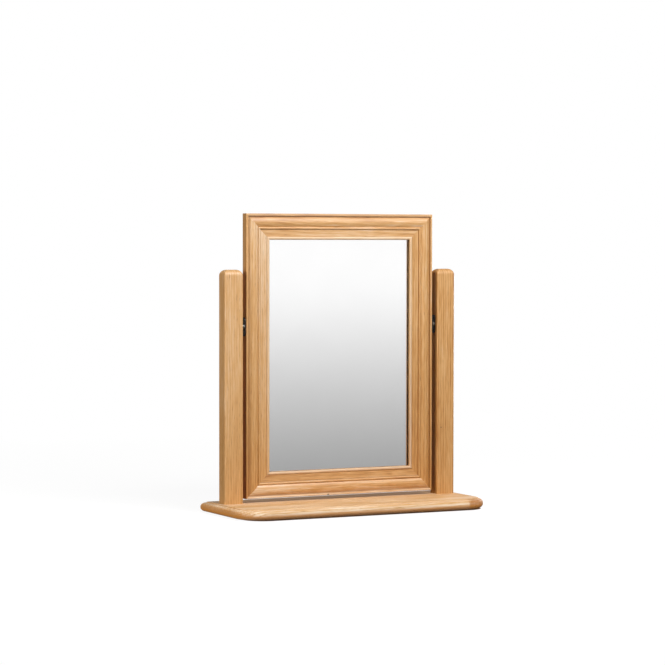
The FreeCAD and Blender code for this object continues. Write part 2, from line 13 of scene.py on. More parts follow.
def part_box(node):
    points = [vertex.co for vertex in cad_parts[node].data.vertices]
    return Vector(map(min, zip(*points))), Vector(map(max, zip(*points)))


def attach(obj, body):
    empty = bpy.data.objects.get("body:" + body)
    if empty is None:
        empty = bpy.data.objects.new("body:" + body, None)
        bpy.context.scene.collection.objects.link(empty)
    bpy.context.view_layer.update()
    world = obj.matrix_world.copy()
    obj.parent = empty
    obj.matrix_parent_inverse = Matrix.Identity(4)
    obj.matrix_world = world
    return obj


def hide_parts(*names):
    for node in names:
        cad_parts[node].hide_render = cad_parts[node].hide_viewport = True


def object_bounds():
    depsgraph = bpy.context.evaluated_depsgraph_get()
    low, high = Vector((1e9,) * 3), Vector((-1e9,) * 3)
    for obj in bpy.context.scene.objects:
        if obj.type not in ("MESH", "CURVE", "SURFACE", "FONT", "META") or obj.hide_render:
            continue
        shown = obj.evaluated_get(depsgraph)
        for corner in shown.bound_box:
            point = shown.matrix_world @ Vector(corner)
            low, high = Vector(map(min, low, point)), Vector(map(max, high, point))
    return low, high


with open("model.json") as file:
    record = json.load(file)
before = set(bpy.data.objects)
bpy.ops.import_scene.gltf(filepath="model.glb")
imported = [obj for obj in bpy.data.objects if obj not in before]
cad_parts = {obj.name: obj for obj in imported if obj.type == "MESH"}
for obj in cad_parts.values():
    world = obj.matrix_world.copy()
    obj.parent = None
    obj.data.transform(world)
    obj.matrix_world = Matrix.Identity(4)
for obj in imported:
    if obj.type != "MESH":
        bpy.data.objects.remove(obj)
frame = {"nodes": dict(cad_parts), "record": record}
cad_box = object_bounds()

MM = 0.001


def linear(hex_colour):
    """Linear RGBA of an sRGB hex colour."""
    parts = np.array([int(hex_colour[i:i + 2], 16) for i in (1, 3, 5)]) / 255
    low, high = parts / 12.92, ((parts + 0.055) / 1.055) ** 2.4
    return (*np.where(parts <= 0.04045, low, high).tolist(), 1.0)


WHITE = linear("#FFFFFF")


def add(tree, kind, inputs=None, stops=None, **settings):
    """Adds one shader node: settings are its properties, stops the places and colours of a ramp, in order.
    An input that is another node's output is linked, and any other input is set."""
    made = tree.nodes.new("ShaderNode" + kind)
    for name, value in settings.items():
        setattr(made, name, value)
    for key, value in (inputs or {}).items():
        if isinstance(value, bpy.types.NodeSocket):
            tree.links.new(value, made.inputs[key])
        else:
            made.inputs[key].default_value = value
    for number, (place, colour) in enumerate(stops or []):
        ramp = made.color_ramp.elements
        stop = ramp[number] if number < 2 else ramp.new(place)
        stop.position = place
        stop.color = colour
    return made


def new_material(name):
    """An empty node material and its tree."""
    material = bpy.data.materials.new(name)
    material.use_nodes = True
    material.node_tree.nodes.clear()
    return material, material.node_tree


# Oak, solid, planed and moulded, under a clear satin lacquer.
# The eye gets fine streaks along the grain, soft bands where growth rings are cut flat, short dark pores,
# a honey colour that drifts over each board, duller edges and browner end grain. Painted shade darkens the
# narrow side faces, the grooves and the base's lower nose, and painted light lifts the crests and the base's
# step.
OAK_TONES = ((0.0, "#F1DABC"), (0.2, "#E4C29B"), (0.48, "#D4A369"), (0.72, "#C38D4D"), (1.0, "#A4692C"))
OAK_PORE = "#8F5F30"
# Painted shade on the narrow side faces
OAK_SIDE_SHADE = "#8E5616"
OAK_END_BROWN = "#AE641A"
OAK_END_GOLD = "#C8843A"
# Painted shade in the grooves and under the bottom rail's lower arris
OAK_GROOVE_SHADE = "#94602B"
# Painted highlight on the lip and the beads
OAK_CREST_HIGHLIGHT = "#F3DCBE"
# Painted warm shade on the lower half of the base's nose
OAK_NOSE_SHADE = "#DA8E3E"
# Painted light that lifts the shade in the base's step
OAK_STEP_PAINTED_LIGHT = "#E4C29B"
OAK_KNOT = "#3F2814"

# Sizes of the patterns. Rings are drawn wider than real ones, and pores longer, so that they show.
RING_WIDTH = 5.5 * MM
STREAK_WIDTH = 6.5 * MM
STREAK_LENGTH = 210 * MM
FIBRE_WIDTH = 2.2 * MM
FIBRE_LENGTH = 36 * MM
PORE_WIDTH = 1.3 * MM
PORE_LENGTH = 14 * MM
DRIFT_WIDTH = 45 * MM
DRIFT_LENGTH = 300 * MM
WANDER = 12 * MM

# How porous a growth ring is from its start, 0, to the next ring, 1, and about what it is on average
RING_POROUSNESS = ((0.0, 0.2), (0.12, 1.0), (0.5, 0.45), (0.85, 0.0), (1.0, 0.2))
RING_MEAN = 0.4

# How far the noises move a plain board's tone, and their average
STREAK_TONE = 0.40
FIBRE_TONE = 0.60
DRIFT_TONE = 0.36
NOISE_MEAN = 0.5

# Noise values between which a pore opens, how dark it gets, and how deep it is beside the fibres' relief
PORE_SHUT = 0.55
PORE_OPEN = 0.75
PORE_STRENGTH = 0.75
PORE_SINK = -0.8
GRAIN_RELIEF = 0.06 * MM
GRAIN_BUMP = 0.6

# Lacquer: its gloss on edges and end grain, and how much its roughness varies with the streaks
LACQUER_IOR = 1.5
EDGE_GLOSS = 0.12
END_GLOSS = 0.0
SATIN_SPREAD = 0.07

# How far a surface faces left or right between where it starts to be dull, or to take painted shade,
# and where it fully is
DULL_START = 0.6
DULL_FULL = 0.95
SIDE_SHADE_START = 0.85
SIDE_SHADE_FULL = 0.97

# End grain's strength: a plain share, and a share that follows the fibres
END_PLAIN = 0.6
END_MOTTLE = 0.8

# Where the colour of a moulding's stretch ends and is full, from its middle line in widths
STRETCH_END = 0.75
STRETCH_FULL = 0.35

# Share of a pin knot that is fully dark
KNOT_HEART = 0.4


def drawn_noise(tree, place, length, width):
    """Soft noise in cells of a length along X and a width across it."""
    cells = add(tree, "VectorMath", {0: place, 1: (1 / length, 1 / width, 1 / width)}, operation="MULTIPLY")
    settings = {"Scale": 1.0, "Detail": 2.0, "Roughness": 0.5}
    return add(tree, "TexNoise", {"Vector": cells.outputs[0], **settings}).outputs


def wood(tree, place, grain, pith, arch):
    """Patterns of a log, from 0 to 1: early wood of its rings, streaks, fibres, pores and a slow drift.
    Places are turned so that the grain runs along X, and moved by pith to count from the log's middle.
    Arch is how much the rings run out of the surface along the grain."""
    straight = add(tree, "Mapping", {
        "Vector": place,
        "Location": pith,
        "Rotation": (0, math.radians(90) if grain == "Z" else 0, 0),
    }).outputs[0]

    # The drift, which also makes the grain wander a little
    drift = drawn_noise(tree, straight, DRIFT_LENGTH, DRIFT_WIDTH)
    log = add(tree, "VectorMath", {0: drift["Color"], 1: (0, WANDER, WANDER), 2: straight},
              operation="MULTIPLY_ADD").outputs[0]

    # Growth rings, by the distance from the log's middle in ring widths
    section = add(tree, "VectorMath", {0: log, 1: (arch, 1, 1)}, operation="MULTIPLY").outputs[0]
    radius = add(tree, "VectorMath", {0: section}, operation="LENGTH").outputs["Value"]
    rings = add(tree, "Math", {0: radius, 1: 1 / RING_WIDTH}, operation="MULTIPLY").outputs[0]
    phase = add(tree, "Math", {0: rings}, operation="FRACT").outputs[0]
    greys = [(at, (level, level, level, 1)) for at, level in RING_POROUSNESS]
    early = add(tree, "ValToRGB", {"Fac": phase}, stops=greys).outputs[0]

    # Streaks, fibres and pores, all drawn out along the grain. Pores open in early wood
    streak = drawn_noise(tree, log, STREAK_LENGTH, STREAK_WIDTH)[0]
    fibre = drawn_noise(tree, log, FIBRE_LENGTH, FIBRE_WIDTH)[0]
    dash = drawn_noise(tree, log, PORE_LENGTH, PORE_WIDTH)[0]
    gap = add(tree, "MapRange", {"Value": dash, 1: PORE_SHUT, 2: PORE_OPEN, 4: PORE_STRENGTH}).outputs[0]
    pores = add(tree, "Math", {0: gap, 1: early}, operation="MULTIPLY").outputs[0]
    return early, streak, fibre, pores, drift[0]


def board_colour(tree, place, piece, shade, fall, patterns, pores):
    """Oak at the tone: shade + fall . (place - the board's middle) + sum of share x (pattern - its mean).
    Pores are laid over it."""
    low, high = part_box(piece)
    average = sum(share * mean for pattern, share, mean in patterns)
    level = shade - (low + high).dot(Vector(fall)) / 2 - average
    slope = add(tree, "VectorMath", {0: place, 1: fall}, operation="DOT_PRODUCT").outputs["Value"]
    tone = add(tree, "Math", {0: slope, 1: level}, operation="ADD").outputs[0]
    for pattern, share, mean in patterns:
        tone = add(tree, "Math", {0: pattern, 1: share, 2: tone}, operation="MULTIPLY_ADD").outputs[0]
    tones = [(at, linear(shown)) for at, shown in OAK_TONES]
    colour = add(tree, "ValToRGB", {"Fac": tone}, stops=tones).outputs[0]
    return add(tree, "Mix", {0: pores, 6: colour, 7: linear(OAK_PORE)}, data_type="RGBA").outputs[2]


def edges_and_ends(tree, facing, grain, fibre, colour, gloss, edge, ends):
    """Colour and gloss with end grain, duller narrow edges and painted shade on the narrow side faces,
    told by the way that the surface faces.
    """
    turned = add(tree, "Math", {0: facing["X"]}, operation="ABSOLUTE").outputs[0]
    shine = add(tree, "MapRange", {
        "Value": turned, 1: DULL_START, 2: DULL_FULL, 3: gloss, 4: EDGE_GLOSS}).outputs[0]
    # Painted shade on the narrow side faces
    if edge:
        side = add(tree, "MapRange", {"Value": turned, 1: SIDE_SHADE_START, 2: SIDE_SHADE_FULL, 4: edge}).outputs[0]
        colour = add(tree, "Mix", {0: side, 6: colour, 7: linear(OAK_SIDE_SHADE)}, data_type="RGBA").outputs[2]
    for start, full, strength, shown in ends:
        mottle = add(tree, "Math", {0: fibre, 1: END_MOTTLE * strength, 2: END_PLAIN * strength},
                     operation="MULTIPLY_ADD").outputs[0]
        cut = add(tree, "MapRange", {"Value": facing[grain], 1: start, 2: full, 4: mottle}).outputs[0]
        colour = add(tree, "Mix", {0: cut, 6: colour, 7: linear(shown)}, data_type="RGBA").outputs[2]
        shine = add(tree, "Mix", {0: cut, 2: shine, 3: END_GLOSS}).outputs[0]
    return colour, shine


def moulding_lines(tree, place, colour, axis, outer_edge, stretches):
    """Colour with stretches of painted shade and painted light along a moulding, each a start, width,
    strength and colour. They are measured along an axis from the moulding's outer edge, and fade out at both
    sides."""
    along = add(tree, "SeparateXYZ", {0: place}).outputs[axis]
    inward = add(tree, "Math", {0: along, 1: outer_edge}, operation="SUBTRACT").outputs[0]
    across = add(tree, "Math", {0: inward}, operation="ABSOLUTE").outputs[0]
    for start, width, strength, shown in stretches:
        aside = add(tree, "Math", {0: across, 1: start + width / 2}, operation="SUBTRACT").outputs[0]
        away = add(tree, "Math", {0: aside}, operation="ABSOLUTE").outputs[0]
        line = add(tree, "MapRange", {
            "Value": away, 1: width * STRETCH_END, 2: width * STRETCH_FULL, 4: strength}).outputs[0]
        colour = add(tree, "Mix", {0: line, 6: colour, 7: linear(shown)}, data_type="RGBA").outputs[2]
    return colour


def pin_knot(tree, place, colour, centre, size):
    """Colour with a small round knot that fades out at its size from its centre."""
    away = add(tree, "VectorMath", {0: place, 1: centre}, operation="DISTANCE").outputs["Value"]
    dark = add(tree, "MapRange", {"Value": away, 1: size, 2: size * KNOT_HEART}).outputs[0]
    return add(tree, "Mix", {0: dark, 6: colour, 7: linear(OAK_KNOT)}, data_type="RGBA").outputs[2]


def oak(piece, grain, pith, shade, fall=(0, 0, 0), figure=0.12, streaks=1.0, arch=0.06, edge=0.0, ends=(),
        gloss=0.7, rough=0.45, moulding=None, knot=None):
    """The lacquered oak of one board.
    Grain is the axis that it runs along, and pith and arch place the board in its log.
    Shade is its tone from 0, pale, to 1, brown, and fall how that changes for each metre right, back and up.
    Figure is how much the growth rings show, streaks how much the streaks, fibres and drift do, where 1 is a
    plain board, and edge how strong the painted shade on the narrow side faces is.
    Ends are kinds of end grain: each starts at one value of the surface's facing along the grain, is full at
    another, and has a strength and a colour.
    Gloss and rough are the lacquer's. Moulding is an axis, the outer edge's place on it and the stretches
    of painted shade and painted light, and knot the place and size of a pin knot."""
    material, tree = new_material("oak_lacquered_" + piece)
    here = add(tree, "TexCoord").outputs
    place = here["Object"]
    facing = add(tree, "SeparateXYZ", {0: here["Normal"]}).outputs
    early, streak, fibre, pores, drift = wood(tree, place, grain, pith, arch)
    patterns = (
        (early, figure, RING_MEAN),
        (streak, streaks * STREAK_TONE, NOISE_MEAN),
        (fibre, streaks * FIBRE_TONE, NOISE_MEAN),
        (drift, streaks * DRIFT_TONE, NOISE_MEAN),
    )
    colour = board_colour(tree, place, piece, shade, fall, patterns, pores)
    colour, shine = edges_and_ends(tree, facing, grain, fibre, colour, gloss, edge, ends)
    if moulding:
        colour = moulding_lines(tree, place, colour, *moulding)
    if knot:
        colour = pin_knot(tree, place, colour, *knot)
    satin = add(tree, "MapRange", {
        "Value": streak, 3: rough - SATIN_SPREAD, 4: rough + SATIN_SPREAD}).outputs[0]
    relief = add(tree, "Math", {0: pores, 1: PORE_SINK, 2: fibre}, operation="MULTIPLY_ADD").outputs[0]
    normal = add(tree, "Bump", {
        "Height": relief, "Distance": GRAIN_RELIEF, "Strength": GRAIN_BUMP}).outputs[0]
    lacquered = add(tree, "BsdfPrincipled", {
        "Base Color": colour, "Roughness": satin, "Normal": normal,
        "IOR": LACQUER_IOR, "Specular IOR Level": shine})
    add(tree, "OutputMaterial", {"Surface": lacquered.outputs[0]})
    return material


# Stretches of the frame's moulding, from its outer edge: painted shade in the quirk, the foot of the
# astragal, the foot of the sight bead and under the bottom rail's lower arris, and painted highlights on lip
# and bead.
GROOVE_SHADES = (
    (4.7 * MM, 2.2 * MM, 0.75, OAK_GROOVE_SHADE),
    (31.3 * MM, 1.2 * MM, 0.6, OAK_GROOVE_SHADE),
    (45.5 * MM, 1.2 * MM, 0.5, OAK_GROOVE_SHADE),
)
LIP_HIGHLIGHT = (0.4 * MM, 3.8 * MM, 0.15, OAK_CREST_HIGHLIGHT)
BEAD_START = 47.3 * MM
BEAD_WIDTH = 4.4 * MM
RAIL_BEAD_HIGHLIGHT = (BEAD_START, BEAD_WIDTH, 0.4, OAK_CREST_HIGHLIGHT)
LEFT_BEAD_HIGHLIGHT = (BEAD_START, BEAD_WIDTH, 0.12, OAK_CREST_HIGHLIGHT)
RIGHT_BEAD_HIGHLIGHT = (BEAD_START, BEAD_WIDTH, 0.45, OAK_CREST_HIGHLIGHT)
LOWER_ARRIS_SHADE = (-0.6 * MM, 1.6 * MM, 0.6, OAK_GROOVE_SHADE)

# The base's edge, from its underside: painted warm shade on the lower half of its nose, and painted light
# that lifts the shade in its step. All that faces right is brown end grain, and the left end is golden where
# it faces left most.
NOSE_SHADE = (-4.0 * MM, 12.0 * MM, 0.8, OAK_NOSE_SHADE)
STEP_PAINTED_LIGHT = (18.0 * MM, 1.2 * MM, 0.6, OAK_STEP_PAINTED_LIGHT)
RIGHT_END = (0.0, 0.08, 0.68, OAK_END_BROWN)
LEFT_END = (-0.50, -0.90, 0.8, OAK_END_GOLD)

# Pin knots on the front faces of the bottom rail and the right post
RAIL_KNOT = ((-28.5 * MM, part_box("bottom_rail")[0].y, 31 * MM), 3.8 * MM)
POST_KNOT = ((230 * MM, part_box("right_post")[0].y, 160 * MM), 1.6 * MM)

# Each board's cut, tone and finish, matched to the photograph
OAK_BOARDS = {
    "base_board": dict(
        # Its tone gets steeply paler downwards, so that the rounded nose is paler than the top: a painted
        # highlight
        grain="X", pith=(0.31, 0.045, -0.070), shade=0.16, fall=(0.15, 0, 21), figure=0.25, streaks=1.4,
        gloss=0.35, rough=0.58, ends=(RIGHT_END, LEFT_END),
        moulding=("Z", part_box("base_board")[0].z, (NOSE_SHADE, STEP_PAINTED_LIGHT))),
    "top_rail": dict(
        grain="X", pith=(-0.22, 0.060, -0.655), shade=0.56, fall=(0, 0, 5), figure=0.20, arch=0.15,
        streaks=1.4, gloss=1.0,
        moulding=("Z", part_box("top_rail")[1].z, (*GROOVE_SHADES, LIP_HIGHLIGHT, RAIL_BEAD_HIGHLIGHT))),
    "bottom_rail": dict(
        grain="X", pith=(0.55, 0.085, 0.030), shade=0.54, fall=(0.2, 0, 10), streaks=1.7, gloss=1.0,
        moulding=("Z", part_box("bottom_rail")[0].z, (*GROOVE_SHADES, LIP_HIGHLIGHT, RAIL_BEAD_HIGHLIGHT, LOWER_ARRIS_SHADE)),
        knot=RAIL_KNOT),
    "left_post": dict(
        grain="Z", pith=(0.12, 0.030, 0.330), shade=0.51, fall=(0, 0, -0.2), edge=0.25),
    "right_post": dict(
        grain="Z", pith=(-0.40, 0.055, -0.170), shade=0.665, fall=(0, 0, -0.1), figure=0.24, streaks=1.25,
        edge=0.4, knot=POST_KNOT),
    "left_stile": dict(
        grain="Z", pith=(0.75, 0.070, 0.270), shade=0.46, fall=(-7, 0, -0.75), edge=0.45,
        moulding=("X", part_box("left_stile")[0].x, (*GROOVE_SHADES, LEFT_BEAD_HIGHLIGHT))),
    "right_stile": dict(
        grain="Z", pith=(-0.90, 0.050, -0.120), shade=0.68, fall=(-3, 0, -0.4), figure=0.24, streaks=1.25,
        edge=0.4, moulding=("X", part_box("right_stile")[1].x, (*GROOVE_SHADES, RIGHT_BEAD_HIGHLIGHT))),
}

# Nearly all values of a noise lie between these two
NOISE_LOW = 0.3
NOISE_HIGH = 0.7

# Silvered float glass: a clear sheet with a mirror coat behind it
GLASS_IOR = 1.52
SILVER_CLOUD = 90 * MM


def float_glass():
    """Float glass: flat and clear, with a fire-polished face."""
    material, tree = new_material("float_glass_clear")
    glass = add(tree, "BsdfPrincipled", {
        "Base Color": WHITE, "Roughness": 0.0, "IOR": GLASS_IOR, "Transmission Weight": 1.0})
    add(tree, "OutputMaterial", {"Surface": glass.outputs[0]})
    return material


def silvering():
    """Silver laid on the back of the glass: a bright even mirror with a trace of cloud in the coat."""
    material, tree = new_material("silver_coat_mirror")
    here = add(tree, "TexCoord").outputs["Object"]
    cloud = add(tree, "TexNoise", {"Vector": here, "Scale": 1 / SILVER_CLOUD, "Detail": 2.0}).outputs[0]
    tones = [(NOISE_LOW, linear("#FDFDFD")), (NOISE_HIGH, linear("#FFFFFF"))]
    tone = add(tree, "ValToRGB", {"Fac": cloud}, stops=tones).outputs[0]
    coat = add(tree, "BsdfPrincipled", {"Base Color": tone, "Metallic": 1.0, "Roughness": 0.0})
    add(tree, "OutputMaterial", {"Surface": coat.outputs[0]})
    return material


def speckled(name, dark, pale, grain, roughness, relief, metallic=0.0, stretch=(1, 1, 1), **sockets):
    """A surface whose colour, gloss and relief follow one noise of the given grain size.
    Roughness is its lowest and highest value. Sockets are further constant inputs of the shader."""
    material, tree = new_material(name)
    here = add(tree, "TexCoord").outputs["Object"]
    drawn = add(tree, "Mapping", {"Vector": here, "Scale": stretch}).outputs[0]
    settings = {"Scale": 1 / grain, "Detail": 4.0, "Roughness": 0.6}
    noise = add(tree, "TexNoise", {"Vector": drawn, **settings}).outputs[0]
    tones = [(NOISE_LOW, linear(dark)), (NOISE_HIGH, linear(pale))]
    colour = add(tree, "ValToRGB", {"Fac": noise}, stops=tones).outputs[0]
    rough = add(tree, "MapRange", {"Value": noise, 3: roughness[0], 4: roughness[1]}).outputs[0]
    normal = add(tree, "Bump", {"Height": noise, "Distance": relief, "Strength": 0.7}).outputs[0]
    inputs = {"Base Color": colour, "Roughness": rough, "Normal": normal, "Metallic": metallic}
    inputs.update({socket.replace("_", " "): value for socket, value in sockets.items()})
    add(tree, "OutputMaterial", {"Surface": add(tree, "BsdfPrincipled", inputs).outputs[0]})
    return material


FINISHES = {
    # Bare turned beech: pale pink brown with fine flecks
    "beech": speckled(
        "beech_bare", "#C79A70", "#DDB88F", 1.6 * MM, (0.55, 0.7), 0.05 * MM),
    # Hardboard, pressed from brown fibres: a smooth dull face with mottled fibre clumps
    "hardboard": speckled(
        "hardboard_pressed", "#765539", "#836144", 2.5 * MM, (0.5, 0.66), 0.06 * MM),
    # Pressed steel under stoved black lacquer: near black, with a slight orange peel
    "black_steel": speckled(
        "steel_black_lacquered", "#120A05", "#20130B", 1.5 * MM, (0.3, 0.42), 0.03 * MM),
    # Phosphated and oiled screw steel: dull dark grey
    "black_screw": speckled(
        "steel_phosphated", "#141312", "#262422", 0.6 * MM, (0.42, 0.55), 0.02 * MM, metallic=0.6),
    # Turned steel, a little dulled: grey metal with fine tool marks across its axis
    "bright_steel": speckled(
        "steel_turned_bright", "#77736C", "#9C978E", 1.2 * MM, (0.22, 0.36), 0.015 * MM,
        metallic=1.0, stretch=(6, 1, 1)),
    # Zinc plate: cool pale metal with soft spangle
    "zinc_plate": speckled(
        "steel_zinc_plated", "#A8ABAC", "#CDD0CF", 2.0 * MM, (0.28, 0.42), 0.015 * MM, metallic=1.0),
    # Black nylon, moulded: near black with a waxy gloss
    "nylon": speckled(
        "nylon_black", "#19130E", "#261D16", 2.5 * MM, (0.38, 0.5), 0.02 * MM),
    # Pressed wool felt: brown, with a nap that scatters light at its edges
    "felt": speckled(
        "felt_wool_pressed", "#3E2C1E", "#6B4E36", 0.7 * MM, (0.9, 1.0), 0.25 * MM,
        Sheen_Weight=0.4, Sheen_Roughness=0.5),
}


def finish_nodes():
    """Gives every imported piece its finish: its own oak, clear glass, or the finish of its slot."""
    slots = {part["node"]: part["material_slot"] for part in frame["record"]["subparts"]}
    for name, piece in frame["nodes"].items():
        if name in OAK_BOARDS:
            material = oak(name, **OAK_BOARDS[name])
        elif name == "mirror_glass":
            material = float_glass()
        else:
            material = FINISHES[slots[name]]
        piece.data.materials.clear()
        piece.data.materials.append(material)


finish_nodes()


def new_piece(name, points, faces, material, body=None, smooth=True):
    """A mesh piece at the origin, riding on a body and taking the finish that it is given."""
    mesh = bpy.data.meshes.new(name)
    mesh.from_pydata(points.reshape(-1, 3).tolist(), [], faces)
    mesh.polygons.foreach_set("use_smooth", np.full(len(mesh.polygons), smooth))
    mesh.materials.append(material)
    mesh.update()
    piece = bpy.data.objects.new(name, mesh)
    bpy.context.scene.collection.objects.link(piece)
    if body is not None:
        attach(piece, body)
    return piece


def ring_faces(rings, around, start):
    """Faces of a closed skin over rings of points: quads between rings and a fan onto the pole at each end.
    The points are the rings in order, then the first pole, then the last, numbered from start."""
    ring, step = np.meshgrid(np.arange(rings - 1), np.arange(around), indexing="ij")
    after = (step + 1) % around
    quads = np.stack([ring * around + step, ring * around + after,
                      (ring + 1) * around + after, (ring + 1) * around + step], -1).reshape(-1, 4) + start
    here, next_one = np.arange(around), (np.arange(around) + 1) % around
    first_pole, last_pole = start + rings * around, start + rings * around + 1
    last = start + (rings - 1) * around
    low = np.stack([start + next_one, start + here, np.full(around, first_pole)], -1)
    high = np.stack([last + here, last + next_one, np.full(around, last_pole)], -1)
    return quads.tolist() + low.tolist() + high.tolist()


def solids_of(node, reach):
    """Boxes of a node's separate solids: each takes the points within reach of the first that is left.
    Reach is more than the length of a solid, and less than the way from it to the next."""
    mesh = frame["nodes"][node].data
    points = np.zeros(len(mesh.vertices) * 3, np.float32)
    mesh.vertices.foreach_get("co", points)
    points = points.reshape(-1, 3)
    boxes = []
    while len(points):
        near = np.linalg.norm(points - points[0], axis=1) < reach
        boxes.append((points[near].min(0), points[near].max(0)))
        points = points[~near]
    return boxes


# Wood screws with a cross recess, in place of the plain turned ones
SCREW_HEAD = 3.0 * MM
SCREW_SHANK = 1.5 * MM
SCREW_STEPS = 48
SCREW_REACH = 18 * MM
RECESS_DEPTH = 1.1 * MM
RECESS_ARM = 2.0 * MM
RECESS_WIDTH = 0.45 * MM
RECESS_TAPER = 0.6

# Half section from the point to the rim of the head, as shares of the shank's radius and of the length,
# then the rings of the head's face, as shares of its radius
SCREW_SIDE = np.array([
    (0.05, 0.0), (0.6, 0.10), (1.0, 0.22), (1.0, 0.80), (1.3, 0.86), (1.97, 0.985), (2.0, 1.0)])
SCREW_FACE = np.linspace(0.95, 0.04, 16)

# Which way the heads face on the right side. On the left, X is the other way
BACKWARD = (0, 1, 0)
OUTWARD = (1, 0, 0)
INWARD = (-1, 0, 0)


def screw_skin(length):
    """Countersunk screw along local +Z, point first, as rings of radius r and height h over the angle t.
    The face of the head sinks by a cross: depth x (near an arm's middle line) x (within the arm's length).
    Near is 1 up to half a width from the line and 0 a width further. Within grows over the arm's taper."""
    t = np.linspace(0, 2 * np.pi, SCREW_STEPS, endpoint=False)
    radius = np.concatenate([SCREW_SIDE[:, 0] * SCREW_SHANK, SCREW_FACE * SCREW_HEAD])
    height = np.concatenate([SCREW_SIDE[:, 1] * length, np.full(len(SCREW_FACE), length)])
    r = np.repeat(radius[:, None], SCREW_STEPS, 1)
    h = np.repeat(height[:, None], SCREW_STEPS, 1)
    off_arm = r * np.minimum(np.abs(np.sin(t)), np.abs(np.cos(t)))
    near_arm = np.clip(1.5 - off_arm / RECESS_WIDTH, 0, 1)
    within = np.clip((RECESS_ARM - r) / (RECESS_TAPER * RECESS_ARM), 0, 1)
    on_face = np.arange(len(radius))[:, None] >= len(SCREW_SIDE)
    h = h - RECESS_DEPTH * near_arm * within * on_face
    rings = np.stack([r * np.cos(t), r * np.sin(t), h], -1)
    poles = np.array([[0, 0, 0], [0, 0, length - RECESS_DEPTH]])
    return rings, poles


def screws(name, node, body, slot, heads):
    """Screws in place of a node's plain ones, as long as those, with their heads facing the given way."""
    points, faces = [], []
    for low, high in solids_of(node, SCREW_REACH):
        middle = Vector((low + high) / 2)
        side = 1 if middle.x > 0 else -1
        way = Vector((side * heads[0], heads[1], heads[2]))
        length = abs(Vector(high - low).dot(way))
        turn = np.array(way.to_track_quat("Z", "Y").to_matrix())
        rings, poles = screw_skin(length)
        local = np.concatenate([rings.reshape(-1, 3), poles]) - (0, 0, length)
        faces += ring_faces(len(rings), SCREW_STEPS, sum(map(len, points)))
        points.append(local @ turn.T + np.array(middle + way * length / 2))
    piece = new_piece(name, np.concatenate(points), faces, FINISHES[slot], body)
    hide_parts(node)


screws("cross_head_board_screws", "back_board_screws", "mirror", "zinc_plate", BACKWARD)
screws("cross_head_frame_screws", "frame_plate_screws", "mirror", "black_screw", OUTWARD)
screws("cross_head_post_screws", "post_plate_screws", "stand", "black_screw", INWARD)


# Silver coat in the packing gap behind the glass
SILVER_GAP = 0.04 * MM
SILVER_THICKNESS = 0.08 * MM
SILVER_EDGE = 0.3 * MM


def silver_coat():
    """A closed sheet: the glass's outline, set in a little, at two depths, each with a middle pole."""
    low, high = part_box("mirror_glass")
    left, right = low.x + SILVER_EDGE, high.x - SILVER_EDGE
    bottom, top = low.z + SILVER_EDGE, high.z - SILVER_EDGE
    corners = np.array([(left, bottom), (left, top), (right, top), (right, bottom)])
    depths = high.y + SILVER_GAP + np.array([0, SILVER_THICKNESS])
    rings = np.concatenate([np.insert(corners, 1, depth, axis=1) for depth in depths])
    poles = np.stack([np.insert(corners.mean(0), 1, depth) for depth in depths])
    points = np.concatenate([rings, poles])
    faces = ring_faces(len(depths), len(corners), 0)
    new_piece("mirror_silver", points, faces, silvering(), "mirror", smooth=False)


silver_coat()


# Felt pads with soft cut edges, in place of the plain discs. The rim swells by a share of half the thickness
PAD_STEPS = 56
PAD_REACH = 40 * MM
PAD_RIM = 0.8
PAD_FRAY = 0.004


def felt_pads():
    """Discs turned from a section of two flat faces and a rim that swells by half an ellipse.
    The radius frays by a fine ripple of the angle t: 1 - PAD_FRAY x (1 + sin 17t x sin(7t + 1))."""
    t = np.linspace(0, 2 * np.pi, PAD_STEPS, endpoint=False)
    fray = 1 - PAD_FRAY * (1 + np.sin(17 * t) * np.sin(7 * t + 1))
    arc = np.linspace(-np.pi / 2, np.pi / 2, 9)
    face = np.linspace(0.3, 0.9, 4)
    points, faces = [], []
    for low, high in solids_of("felt_pads", PAD_REACH):
        middle, size = (low + high) / 2, (high - low) / 2
        rim = size[2] * PAD_RIM
        radius = np.concatenate([face * size[0], size[0] - rim + rim * np.cos(arc), face[::-1] * size[0]])
        height = size[2] * np.concatenate([np.full(len(face), -1), np.sin(arc), np.full(len(face), 1)])
        rings = np.stack([np.outer(radius, fray * np.cos(t)), np.outer(radius, fray * np.sin(t)),
                          np.repeat(height[:, None], PAD_STEPS, 1)], -1)
        poles = np.array([[0, 0, -size[2]], [0, 0, size[2]]])
        faces += ring_faces(len(rings), PAD_STEPS, sum(map(len, points)))
        points.append(np.concatenate([rings.reshape(-1, 3), poles]) + middle)
    piece = new_piece("felt_discs", np.concatenate(points), faces, FINISHES["felt"], "stand")
    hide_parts("felt_pads")


felt_pads()


# Studio: a white floor that keeps the shadow, and a white surround.
# To the camera the floor is a glow and a grey board that takes light and shadow, and far off plain white.
FLOOR_REACH = 60.0
FLOOR_GLOW = 0.92
FLOOR_BOARD = "#646464"
FLOOR_BOUNCE = "#8C8C8C"
SHADOW_REACH = 1.0
SHADOW_FADE = 2.0
# Painted reflection in the floor's glow: its grey near the object and how far that reaches
NEAR_GREY = 0.70
GREY_REACH = 5.9

# Painted shadow under the base: its round corners, how far it is set in, the width of its rim, and its
# colours
BASE_CORNER = 45 * MM
UNDER_EDGE = 5 * MM
UNDER_LEFT = 18 * MM
UNDER_SHADE = 6 * MM
UNDER_SHADOW_TONE = "#2E1B0B"
HALF_SHADE = "#7A4E2A"


